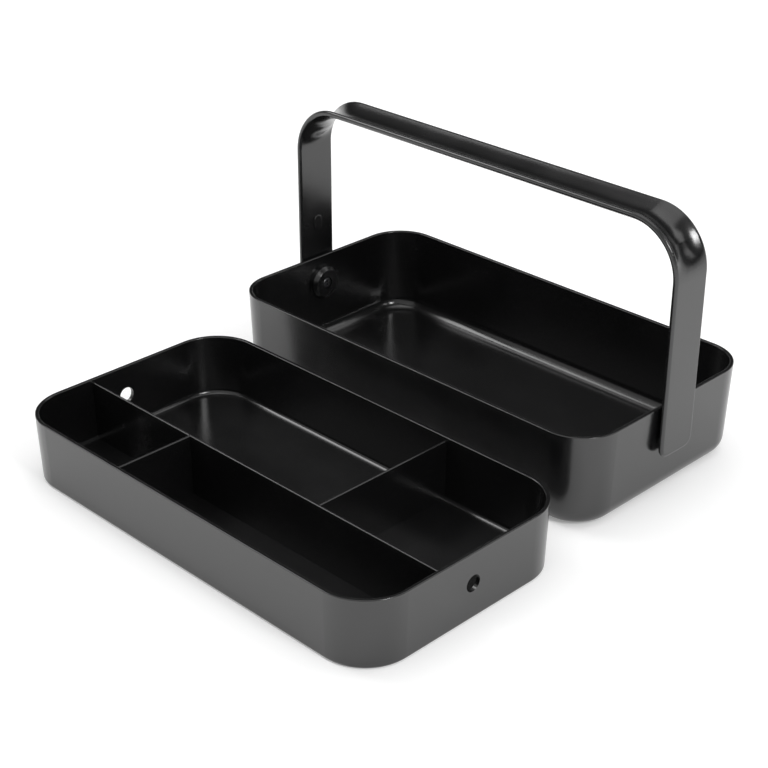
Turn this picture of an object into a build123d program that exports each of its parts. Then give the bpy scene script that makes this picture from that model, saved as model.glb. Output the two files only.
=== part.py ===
from build123d import *
import math
import os

os.makedirs("parts", exist_ok=True)

# ---------------------------------------------------------------- bin
BIN_LENGTH = 275.4
BIN_WIDTH = 145.7
BIN_HEIGHT = 55.4
BIN_CORNER = 25.3
BIN_DRAFT = 2.0
BIN_BOTTOM_ROUND = 9.5
BIN_WALL = 2.2
BIN_FLOOR = 2.4

# ---------------------------------------------------------------- tray
TRAY_LENGTH = 273.4
TRAY_WIDTH = 146.0
TRAY_HEIGHT = 39.2
TRAY_CORNER = 28.0
TRAY_DRAFT = 1.3
TRAY_BOTTOM_ROUND = 1.7
TRAY_WALL = 2.2
TRAY_FLOOR = 2.2
TRAY_INNER_ROUND = 3.0
TRAY_X = 8.6
TRAY_GAP = 18.65
RIM_ROUND = 0.5

DIVIDER_TOP_DROP = 1.7
DIVIDER_FOOT = 2.2
DIVIDER_CREST = 1.5
DIVIDER_CREST_ROUND = 0.6
LONG_DIVIDER_Y = -21.7
FRONT_DIVIDER_X = -48.5
REAR_DIVIDER_X = 51.5
TRAY_HOLE = 9.4
TRAY_HOLE_Z = 21.3

# ---------------------------------------------------------------- handle
HANDLE_WIDTH = 27.0
LEG_THICKNESS = 3.2
LEG_GAP = 1.4
LEG_BELOW_PIVOT = 12.5
LEG_BOTTOM_ROUND = 6.5
GRIP_EDGE_Z = 155.6
GRIP_DISH = 3.8
DISH_START = 4.0
DISH_END = 34.0
DISH_STEPS = 9
HANDLE_INNER_RADIUS = 28.2
NUB_WIDTH = 5.6
NUB_HEIGHT = 10.0
NUB_PROUD = 1.0
NUB_EDGE_ROUND = 0.6
NUB_Z = 77.6

# ---------------------------------------------------------------- pivots
PIVOT_Z = 38.2
JOURNAL = 10.0
JOURNAL_FIT = 0.05
OUTER_BOSS = 16.0
INNER_PAD = 22.6
INNER_PAD_DEPTH = 0.8
WASHER_OUTER = 16.4
WASHER_THICKNESS = 1.1
WASHER_CLEARANCE = 0.3
CAP = 21.0
CAP_FACE = 17.0
CAP_HEIGHT = 3.6
CAP_RIM = 1.4
CAP_EDGE_ROUND = 0.9
JOURNAL_IN_CAP = 0.8
SCREW = 3.0
SCREW_FIT = 0.05
SCREW_LENGTH = 7.0
SCREW_END_GAP = 1.0
SCREW_CAP_CLEARANCE = 0.2
SCREW_HEAD = 6.4
SCREW_HEAD_HEIGHT = 1.5
SCREW_HEAD_ROUND = 0.7
SCREW_SLOT_LENGTH = 3.4
SCREW_SLOT_WIDTH = 0.8
SCREW_SLOT_DEPTH = 0.7
HEAD_POCKET = 7.4
HEAD_POCKET_DEPTH = 1.8

# ---------------------------------------------------------------- dependent sizes
TRAY_Y = -(BIN_WIDTH / 2 + TRAY_GAP + TRAY_WIDTH / 2)
LEG_INNER_X = BIN_LENGTH / 2 + LEG_GAP
LEG_BOTTOM_Z = PIVOT_Z - LEG_BELOW_PIVOT
CORNER_X = LEG_INNER_X - HANDLE_INNER_RADIUS
CORNER_Z = GRIP_EDGE_Z - HANDLE_INNER_RADIUS
WALL_MIDDLE_X = BIN_LENGTH / 2 - BIN_DRAFT * (BIN_HEIGHT - PIVOT_Z) / BIN_HEIGHT - BIN_WALL / 2
INNER_PAD_FACE_X = WALL_MIDDLE_X - BIN_WALL / 2 - INNER_PAD_DEPTH
OUTER_BOSS_FACE_X = LEG_INNER_X - WASHER_THICKNESS
JOURNAL_END_X = INNER_PAD_FACE_X - JOURNAL_IN_CAP
CAP_FACE_X = INNER_PAD_FACE_X - CAP_HEIGHT
HEAD_SEAT_X = CAP_FACE_X + HEAD_POCKET_DEPTH
HEAD_TOP_X = HEAD_SEAT_X - SCREW_HEAD_HEIGHT
SCREW_END_X = HEAD_SEAT_X + SCREW_LENGTH


def drafted_block(length, width, corner, height, draft, inset, bottom, top):
    """Rounded block whose walls lean in towards the floor; sizes are those at the rim."""
    layers = []
    for z in (bottom, top):
        shrink = inset + draft * (height - z) / height
        layers.append(
            Pos(0, 0, z) * RectangleRounded(length - 2 * shrink, width - 2 * shrink, corner - shrink)
        )
    return loft(layers, ruled=True)


def lowest_edges(shape, z):
    """Edges that lie on the level z."""
    return shape.edges().filter_by_position(Axis.Z, z - 0.01, z + 0.01)


def edges_at_x(shape, x):
    """Edges that lie on the plane x."""
    return shape.edges().filter_by_position(Axis.X, x - 0.01, x + 0.01)


def open_tub(length, width, corner, height, draft, wall, floor, outer_round, inner_round):
    """Open-topped moulded tub with a rounded bottom edge inside and out."""
    outer = drafted_block(length, width, corner, height, draft, 0, 0, height)
    outer = fillet(lowest_edges(outer, 0), outer_round)
    cavity = drafted_block(length, width, corner, height, draft, wall, floor, height + 2)
    cavity = fillet(lowest_edges(cavity, floor), inner_round)
    tub = outer - cavity
    return fillet(lowest_edges(tub, height), RIM_ROUND)


def disc_along_x(diameter, x_from, x_to):
    """Round disc on the pivot line between two X planes."""
    middle = (x_from + x_to) / 2
    return Pos(middle, 0, PIVOT_Z) * Rot(0, 90, 0) * Cylinder(diameter / 2, abs(x_to - x_from))


def make_bin():
    """Open bin with a pad, a boss and a bore in each end wall for the handle."""
    body = open_tub(
        BIN_LENGTH, BIN_WIDTH, BIN_CORNER, BIN_HEIGHT, BIN_DRAFT, BIN_WALL, BIN_FLOOR,
        BIN_BOTTOM_ROUND, BIN_BOTTOM_ROUND - BIN_WALL,
    )
    for side in (-1, 1):
        body += disc_along_x(INNER_PAD, side * INNER_PAD_FACE_X, side * WALL_MIDDLE_X)
        body += disc_along_x(OUTER_BOSS, side * WALL_MIDDLE_X, side * OUTER_BOSS_FACE_X)
    for side in (-1, 1):
        bore = JOURNAL + 2 * JOURNAL_FIT
        body -= disc_along_x(bore, side * (INNER_PAD_FACE_X - 2), side * (OUTER_BOSS_FACE_X + 2))
    return body


def divider_profile():
    """Upright divider section, standing on the tray floor, rounded on top."""
    top = TRAY_HEIGHT - DIVIDER_TOP_DROP
    foot = TRAY_FLOOR - 1
    section = Polygon(
        (-DIVIDER_FOOT / 2, foot),
        (DIVIDER_FOOT / 2, foot),
        (DIVIDER_CREST / 2, top),
        (-DIVIDER_CREST / 2, top),
        align=None,
    )
    crest = section.vertices().filter_by_position(Axis.Y, top - 0.01, top + 0.01)
    return fillet(crest, DIVIDER_CREST_ROUND)


def divider_along_x(x_from, x_to, y):
    """Divider that runs along the tray."""
    plane = Plane(origin=(x_from, y, 0), x_dir=(0, 1, 0), z_dir=(1, 0, 0))
    return extrude(plane * divider_profile(), x_to - x_from)


def divider_along_y(y_from, y_to, x):
    """Divider that runs across the tray."""
    plane = Plane(origin=(x, y_from, 0), x_dir=(-1, 0, 0), z_dir=(0, 1, 0))
    return extrude(plane * divider_profile(), y_to - y_from)


def make_tray():
    """Lift-off tray with four compartments and a hole in each end wall."""
    body = open_tub(
        TRAY_LENGTH, TRAY_WIDTH, TRAY_CORNER, TRAY_HEIGHT, TRAY_DRAFT, TRAY_WALL, TRAY_FLOOR,
        TRAY_BOTTOM_ROUND, TRAY_INNER_ROUND,
    )
    inside = drafted_block(
        TRAY_LENGTH, TRAY_WIDTH, TRAY_CORNER, TRAY_HEIGHT, TRAY_DRAFT, TRAY_WALL / 2,
        TRAY_FLOOR / 2, TRAY_HEIGHT,
    )
    half_length = TRAY_LENGTH / 2
    half_width = TRAY_WIDTH / 2
    walls = divider_along_x(-half_length, half_length, LONG_DIVIDER_Y)
    walls += divider_along_y(-half_width, LONG_DIVIDER_Y, FRONT_DIVIDER_X)
    walls += divider_along_y(LONG_DIVIDER_Y, half_width, REAR_DIVIDER_X)
    body += walls & inside
    for end in (-half_length, half_length):
        body -= Pos(end, 0, TRAY_HOLE_Z) * Rot(0, 90, 0) * Cylinder(TRAY_HOLE / 2, 4 * TRAY_WALL)
    return Pos(TRAY_X, TRAY_Y, 0) * body


def bowed_edge(start, end, x):
    """Edge across the strap that passes x in the middle, straight where both ends lie at x."""
    if start[0] == x:
        return Line(start, end)
    return ThreePointArc(start, (x, 0), end)


def strap_section(dish):
    """Strap section with round edges: flat for the legs, a shallow trough for the grip."""
    radius = LEG_THICKNESS / 2
    reach = HANDLE_WIDTH / 2 - radius
    tilt = 2 * math.atan(dish / reach)
    along, across = radius * math.cos(tilt), radius * math.sin(tilt)
    outer = Vector(radius + along, reach - across)
    tip = Vector(radius + across, reach + along)
    inner = Vector(radius - along, reach + across)
    outline = bowed_edge((outer.X, -outer.Y), (outer.X, outer.Y), LEG_THICKNESS - dish)
    outline += ThreePointArc(outer, tip, inner)
    outline += bowed_edge((inner.X, inner.Y), (inner.X, -inner.Y), -dish)
    outline += ThreePointArc((inner.X, -inner.Y), (tip.X, -tip.Y), (outer.X, -outer.Y))
    return make_face(outline)


def strap_plane(turn):
    """Plane across the strap in the right-hand corner, 0 at the leg and 90 at the grip."""
    angle = math.radians(turn)
    outward = (math.cos(angle), 0, math.sin(angle))
    along = (-math.sin(angle), 0, math.cos(angle))
    origin = (
        CORNER_X + HANDLE_INNER_RADIUS * outward[0],
        0,
        CORNER_Z + HANDLE_INNER_RADIUS * outward[2],
    )
    return Plane(origin=origin, x_dir=outward, z_dir=along)


def dish_at(turn):
    """Depth of the trough, which starts just above the leg and is soon full."""
    progress = min(1, max(0, (turn - DISH_START) / (DISH_END - DISH_START)))
    return GRIP_DISH * math.sin(math.radians(90 * progress)) ** 2


def handle_corner():
    """Right-hand corner, where the flat leg turns into the troughed grip."""
    end = DISH_END * DISH_STEPS / (DISH_STEPS - 1)
    turns = [end * step / DISH_STEPS for step in range(DISH_STEPS + 1)]
    start = loft([strap_plane(turn) * strap_section(dish_at(turn)) for turn in turns])
    axis = Axis((CORNER_X, 0, CORNER_Z), (0, -1, 0))
    return start + revolve(strap_plane(end) * strap_section(GRIP_DISH), axis, 90 - end)


def leg_foot():
    """Bottom end of the right-hand leg, with rounded corners and the same round edge."""
    level = LEG_BOTTOM_Z + LEG_BOTTOM_ROUND
    straight = HANDLE_WIDTH / 2 - LEG_BOTTOM_ROUND
    reach = LEG_BOTTOM_ROUND - LEG_THICKNESS / 2
    edge = Rectangle(LEG_THICKNESS, reach, align=(Align.CENTER, Align.MIN))
    edge += Pos(0, reach) * Circle(LEG_THICKNESS / 2)
    middle_x = LEG_INNER_X + LEG_THICKNESS / 2
    edge = Plane(origin=(middle_x, straight, level), x_dir=(1, 0, 0), z_dir=(0, 1, 0)) * edge
    corner = revolve(edge, Axis((0, straight, level), (1, 0, 0)), 90)
    return extrude(edge, -2 * straight) + corner + corner.mirror(Plane.XZ)


def handle_leg():
    """Right-hand leg with a rounded bottom end."""
    height = CORNER_Z - LEG_BOTTOM_Z - LEG_BOTTOM_ROUND
    return extrude(strap_plane(0) * strap_section(0), -height) + leg_foot()


def handle_nub():
    """Low upright nub on the inside of the right-hand leg."""
    plane = Plane(origin=(LEG_INNER_X, 0, NUB_Z), x_dir=(0, 1, 0), z_dir=(-1, 0, 0))
    nub = extrude(plane * SlotOverall(NUB_HEIGHT, NUB_WIDTH, rotation=90), NUB_PROUD)
    return fillet(edges_at_x(nub, LEG_INNER_X - NUB_PROUD), NUB_EDGE_ROUND)


def make_handle():
    """Hoop handle: troughed grip, two flat legs, two nubs and the two hinge journals."""
    grip = extrude(strap_plane(90) * strap_section(GRIP_DISH), CORNER_X)
    journal = disc_along_x(JOURNAL, JOURNAL_END_X, LEG_INNER_X)
    half = grip + handle_corner() + handle_leg() + handle_nub() + journal
    half -= disc_along_x(SCREW + 2 * SCREW_FIT, JOURNAL_END_X, SCREW_END_X + SCREW_END_GAP)
    return half + half.mirror(Plane.YZ)


def make_cap(side):
    """Domed hub cap inside the bin, on the end of the hinge journal."""
    outline = Polyline(
        (0, 0), (CAP / 2, 0), (CAP / 2, CAP_RIM), (CAP_FACE / 2, CAP_HEIGHT), (0, CAP_HEIGHT), (0, 0)
    )
    section = make_face(outline)
    shoulder = section.vertices().filter_by_position(Axis.X, CAP_FACE / 2 - 0.01, CAP / 2 + 0.01)
    shoulder = shoulder.filter_by_position(Axis.Y, CAP_RIM - 0.01, CAP_HEIGHT + 0.01)
    section = fillet(shoulder, CAP_EDGE_ROUND)
    cap = revolve(section, Axis.Y)
    cap = Pos(INNER_PAD_FACE_X, 0, PIVOT_Z) * Rot(0, 0, 90) * cap
    cap -= disc_along_x(HEAD_POCKET, CAP_FACE_X - 1, HEAD_SEAT_X)
    cap -= disc_along_x(JOURNAL + 2 * JOURNAL_FIT, JOURNAL_END_X, INNER_PAD_FACE_X + 1)
    cap -= disc_along_x(SCREW + 2 * SCREW_CAP_CLEARANCE, CAP_FACE_X, INNER_PAD_FACE_X)
    return cap if side > 0 else cap.mirror(Plane.YZ)


def make_screw(side):
    """Pan-head screw that holds the cap to the journal, with a cross slot."""
    head = disc_along_x(SCREW_HEAD, HEAD_TOP_X, HEAD_SEAT_X)
    head = fillet(edges_at_x(head, HEAD_TOP_X), SCREW_HEAD_ROUND)
    slot_centre = Pos(HEAD_TOP_X, 0, PIVOT_Z)
    head -= slot_centre * Box(2 * SCREW_SLOT_DEPTH, SCREW_SLOT_WIDTH, SCREW_SLOT_LENGTH)
    head -= slot_centre * Box(2 * SCREW_SLOT_DEPTH, SCREW_SLOT_LENGTH, SCREW_SLOT_WIDTH)
    screw = head + disc_along_x(SCREW, HEAD_SEAT_X, SCREW_END_X)
    return screw if side > 0 else screw.mirror(Plane.YZ)


def make_washer(side):
    """Friction washer between the boss of the bin and the leg."""
    ring = disc_along_x(WASHER_OUTER, OUTER_BOSS_FACE_X, LEG_INNER_X)
    ring -= disc_along_x(JOURNAL + 2 * WASHER_CLEARANCE, OUTER_BOSS_FACE_X, LEG_INNER_X)
    return ring if side > 0 else ring.mirror(Plane.YZ)


def main():
    """Build every piece and write one STEP file for each."""
    pieces = {"bin": make_bin(), "tray": make_tray(), "handle": make_handle()}
    for name, side in (("right", 1), ("left", -1)):
        pieces["hub_cap_" + name] = make_cap(side)
        pieces["hub_screw_" + name] = make_screw(side)
        pieces["friction_washer_" + name] = make_washer(side)
    for name, shape in pieces.items():
        export_step(shape, "parts/" + name + ".step")


main()
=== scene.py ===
import math

import bpy
from mathutils import Matrix, Vector

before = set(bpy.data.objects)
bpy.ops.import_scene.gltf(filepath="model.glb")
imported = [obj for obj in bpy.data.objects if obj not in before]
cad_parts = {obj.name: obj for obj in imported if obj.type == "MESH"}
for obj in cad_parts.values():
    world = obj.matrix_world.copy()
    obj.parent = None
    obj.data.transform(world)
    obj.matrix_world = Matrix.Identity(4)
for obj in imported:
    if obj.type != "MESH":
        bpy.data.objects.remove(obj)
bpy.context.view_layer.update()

scene = bpy.context.scene

# Camera, in metres and degrees. The lens and the sensor are in millimetres.
CAMERA_AZIMUTH = 44.92
CAMERA_ELEVATION = 27.64
CAMERA_ROLL = 0.11
CAMERA_DISTANCE = 0.9442
CAMERA_TARGET = (-0.00164, -0.07843, 0.04260)
CAMERA_LENS = 79.39
CAMERA_SENSOR = 36
CAMERA_CLIP = (0.01, 100)

# World. Edges of the bands are sines of the elevation above the horizon.
SKY_ON_SURFACES = 0.58
WHITE = (1, 1, 1, 1)
BACKDROP_TOP = math.sin(math.radians(6))
CEILING_EDGE = math.sin(math.radians(18))
CEILING_BAND = (0.42, 0.90)
CEILING_LOW = 0.02
CEILING_HIGH = 0.17
FRONT_BAND = (0.10, -0.60)
CEILING_FRONT = 0.45

# Floor, in metres. Its glow grows from the first distance to the second.
FLOOR_SIZE = 14.0
FLOOR_DROP = 0.0002
FLOOR_COLOUR = (0.86, 0.86, 0.86, 1)
FLOOR_GLOW_REACH = (0.7, 2.1)
FLOOR_GLOW_NEAR = 0.24
FLOOR_GLOW_FAR = 0.65

# Black moulded plastic. The relief is in metres.
PLASTIC = (0.0048, 0.0048, 0.0050)
PLASTIC_IOR = 1.73
PLASTIC_CLOUD_SCALE = 28
PLASTIC_CLOUD_RANGE = (0.3, 0.7)
PLASTIC_SPREAD = (0.85, 1.2)
PLASTIC_GRAIN_SCALE = 1400
PLASTIC_RELIEF = 0.0002
WASHER_PLASTIC = (0.03, 0.03, 0.03)
WASHER_IOR = 1.5

# Blackened steel.
STEEL_DARK = (0.10, 0.10, 0.105, 1)
STEEL_LIGHT = (0.30, 0.30, 0.31, 1)
STEEL_ROUGHNESS = (0.25, 0.45)
STEEL_MARK_SCALE = 1800


def add_camera():
    """Camera at the viewing angle of the reference."""
    azimuth = math.radians(CAMERA_AZIMUTH)
    elevation = math.radians(CAMERA_ELEVATION)
    back = Vector((
        math.sin(azimuth) * math.cos(elevation),
        -math.cos(azimuth) * math.cos(elevation),
        math.sin(elevation),
    ))
    camera = bpy.data.objects.new("camera", bpy.data.cameras.new("camera"))
    camera.data.sensor_width = CAMERA_SENSOR
    camera.data.lens = CAMERA_LENS
    camera.data.clip_start, camera.data.clip_end = CAMERA_CLIP
    turn = (-back).to_track_quat("-Z", "Y").to_matrix().to_4x4()
    roll = Matrix.Rotation(math.radians(CAMERA_ROLL), 4, "Z")
    place = Matrix.Translation(Vector(CAMERA_TARGET) + back * CAMERA_DISTANCE)
    camera.matrix_world = place @ turn @ roll
    scene.collection.objects.link(camera)
    scene.camera = camera


def add_lamp(name, towards, distance, size, power, target=(0, -0.08, 0.05)):
    """Rectangular soft lamp that lies in the given direction and faces the object."""
    data = bpy.data.lights.new(name, "AREA")
    data.shape = "RECTANGLE"
    data.size, data.size_y = size
    data.energy = power
    lamp = bpy.data.objects.new(name, data)
    direction = Vector(towards).normalized()
    lamp.location = Vector(target) + direction * distance
    lamp.rotation_mode = "QUATERNION"
    lamp.rotation_quaternion = direction.to_track_quat("Z", "Y")
    scene.collection.objects.link(lamp)


def value_range(nodes, span, values):
    """Map Range node that turns a span of input into a range of values."""
    node = nodes.new("ShaderNodeMapRange")
    node.inputs["From Min"].default_value, node.inputs["From Max"].default_value = span
    node.inputs["To Min"].default_value, node.inputs["To Max"].default_value = values
    return node


def smooth_range(nodes, span, values):
    """Map Range node that eases in and out."""
    node = value_range(nodes, span, values)
    node.interpolation_type = "SMOOTHSTEP"
    return node


def joined(nodes, links, operation, first, second):
    """Output of a Math node that joins two values."""
    node = nodes.new("ShaderNodeMath")
    node.operation = operation
    links.new(first, node.inputs[0])
    links.new(second, node.inputs[1])
    return node.outputs[0]


def add_world():
    """White backdrop below a dark ceiling, the same to camera, gloss and clear parts."""
    world = bpy.data.worlds.new("studio")
    world.use_nodes = True
    scene.world = world
    nodes = world.node_tree.nodes
    links = world.node_tree.links
    nodes.clear()
    place = nodes.new("ShaderNodeTexCoord")
    split = nodes.new("ShaderNodeSeparateXYZ")
    links.new(place.outputs["Generated"], split.inputs[0])
    white = smooth_range(nodes, (BACKDROP_TOP, CEILING_EDGE), (1, 0))
    links.new(split.outputs["Z"], white.inputs["Value"])
    ceiling = smooth_range(nodes, CEILING_BAND, (CEILING_LOW, CEILING_HIGH))
    links.new(split.outputs["Z"], ceiling.inputs["Value"])
    front = smooth_range(nodes, FRONT_BAND, (0, CEILING_FRONT))
    links.new(split.outputs["Y"], front.inputs["Value"])
    above = joined(nodes, links, "ADD", ceiling.outputs["Result"], front.outputs["Result"])
    strength = joined(nodes, links, "MAXIMUM", white.outputs["Result"], above)

    path = nodes.new("ShaderNodeLightPath").outputs
    shown = joined(nodes, links, "MAXIMUM", path["Is Camera Ray"], path["Is Glossy Ray"])
    shown = joined(nodes, links, "MAXIMUM", shown, path["Is Transmission Ray"])
    sky = nodes.new("ShaderNodeBackground")
    sky.inputs["Strength"].default_value = SKY_ON_SURFACES
    backdrop = nodes.new("ShaderNodeBackground")
    links.new(strength, backdrop.inputs["Strength"])
    for node in (sky, backdrop):
        node.inputs["Color"].default_value = WHITE
    seen = nodes.new("ShaderNodeMixShader")
    output = nodes.new("ShaderNodeOutputWorld")
    links.new(shown, seen.inputs[0])
    links.new(sky.outputs[0], seen.inputs[1])
    links.new(backdrop.outputs[0], seen.inputs[2])
    links.new(seen.outputs[0], output.inputs["Surface"])


def add_floor():
    """White floor that keeps the object's shadow and stays white beyond the lamps."""
    half = FLOOR_SIZE / 2
    mesh = bpy.data.meshes.new("floor")
    corners = [(-half, -half, 0), (half, -half, 0), (half, half, 0), (-half, half, 0)]
    mesh.from_pydata(corners, [], [(0, 1, 2, 3)])
    floor = bpy.data.objects.new("floor", mesh)
    floor.location.z = -FLOOR_DROP
    scene.collection.objects.link(floor)
    material = bpy.data.materials.new("floor_white")
    material.use_nodes = True
    nodes = material.node_tree.nodes
    links = material.node_tree.links
    nodes.clear()
    matte = nodes.new("ShaderNodeBsdfDiffuse")
    matte.inputs["Color"].default_value = FLOOR_COLOUR
    place = nodes.new("ShaderNodeTexCoord")
    reach = nodes.new("ShaderNodeVectorMath")
    reach.operation = "LENGTH"
    links.new(place.outputs["Object"], reach.inputs[0])
    level = smooth_range(nodes, FLOOR_GLOW_REACH, (FLOOR_GLOW_NEAR, FLOOR_GLOW_FAR))
    links.new(reach.outputs["Value"], level.inputs["Value"])
    glow = nodes.new("ShaderNodeEmission")
    links.new(level.outputs["Result"], glow.inputs["Strength"])
    both = nodes.new("ShaderNodeAddShader")
    output = nodes.new("ShaderNodeOutputMaterial")
    links.new(matte.outputs[0], both.inputs[0])
    links.new(glow.outputs[0], both.inputs[1])
    links.new(both.outputs[0], output.inputs["Surface"])
    mesh.materials.append(material)


def noise(nodes, links, place, scale, detail):
    """Noise pattern in the piece's own coordinates."""
    node = nodes.new("ShaderNodeTexNoise")
    node.inputs["Scale"].default_value = scale
    node.inputs["Detail"].default_value = detail
    links.new(place.outputs["Object"], node.inputs["Vector"])
    return node.outputs["Fac"]


def tint_by(pattern, nodes, links, shader, first, second):
    """Base colour that goes from the first to the second with the pattern."""
    tint = nodes.new("ShaderNodeMix")
    tint.data_type = "RGBA"
    tint.inputs["A"].default_value = first
    tint.inputs["B"].default_value = second
    links.new(pattern, tint.inputs["Factor"])
    links.new(tint.outputs["Result"], shader.inputs["Base Color"])


def roughen_by(pattern, nodes, links, shader, span, values):
    """Roughness that follows the pattern."""
    polish = value_range(nodes, span, values)
    links.new(pattern, polish.inputs["Value"])
    links.new(polish.outputs["Result"], shader.inputs["Roughness"])


def moulded_plastic(name, colour, roughness, ior, bump=0.05):
    """Gloss plastic with a fine moulded grain and faint uneven polish."""
    material = bpy.data.materials.new(name)
    material.use_nodes = True
    nodes = material.node_tree.nodes
    links = material.node_tree.links
    shader = nodes["Principled BSDF"]
    shader.inputs["IOR"].default_value = ior
    place = nodes.new("ShaderNodeTexCoord")
    low, high = PLASTIC_SPREAD

    cloud = noise(nodes, links, place, PLASTIC_CLOUD_SCALE, 3)
    roughen_by(cloud, nodes, links, shader, PLASTIC_CLOUD_RANGE, (roughness * low, roughness * high))
    darker = (*[c * low for c in colour], 1)
    lighter = (*[c * high for c in colour], 1)
    tint_by(cloud, nodes, links, shader, darker, lighter)

    relief = nodes.new("ShaderNodeBump")
    relief.inputs["Strength"].default_value = bump
    relief.inputs["Distance"].default_value = PLASTIC_RELIEF
    links.new(noise(nodes, links, place, PLASTIC_GRAIN_SCALE, 2), relief.inputs["Height"])
    links.new(relief.outputs["Normal"], shader.inputs["Normal"])
    return material


def blackened_steel():
    """Dark plated steel with fine uneven wear."""
    material = bpy.data.materials.new("blackened_steel")
    material.use_nodes = True
    nodes = material.node_tree.nodes
    links = material.node_tree.links
    shader = nodes["Principled BSDF"]
    shader.inputs["Metallic"].default_value = 1.0
    wear = noise(nodes, links, nodes.new("ShaderNodeTexCoord"), STEEL_MARK_SCALE, 4)
    tint_by(wear, nodes, links, shader, STEEL_DARK, STEEL_LIGHT)
    roughen_by(wear, nodes, links, shader, (0, 1), STEEL_ROUGHNESS)
    return material


def dress(node, material):
    """Gives one CAD node its finish."""
    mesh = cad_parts[node].data
    mesh.materials.clear()
    mesh.materials.append(material)


add_camera()
add_world()
add_floor()
add_lamp("key", (0.78, -0.09, 0.65), 1.6, (0.36, 0.36), 8)
add_lamp("left", (-0.64, -0.18, 0.75), 1.8, (0.75, 0.75), 7)
add_lamp("overhead", (0, 0.4, 1.0), 2.1, (1.7, 2.6), 13, target=(-0.2, -0.45, 0.20))
add_lamp("back", (0.485, 0.62, 0.65), 1.8, (0.8, 0.6), 1.9)

tub = moulded_plastic("tub_plastic", PLASTIC, 0.20, PLASTIC_IOR)
grip = moulded_plastic("handle_plastic", PLASTIC, 0.23, PLASTIC_IOR, bump=0.06)
cap = moulded_plastic("cap_plastic", PLASTIC, 0.26, PLASTIC_IOR)
washer = moulded_plastic("washer_plastic", WASHER_PLASTIC, 0.5, WASHER_IOR, bump=0.1)
steel = blackened_steel()

dress("bin", tub)
dress("tray", tub)
dress("handle", grip)
for side in ("left", "right"):
    dress("hub_cap_" + side, cap)
    dress("hub_screw_" + side, steel)
    dress("friction_washer_" + side, washer)

scene.view_settings.view_transform = "Standard"
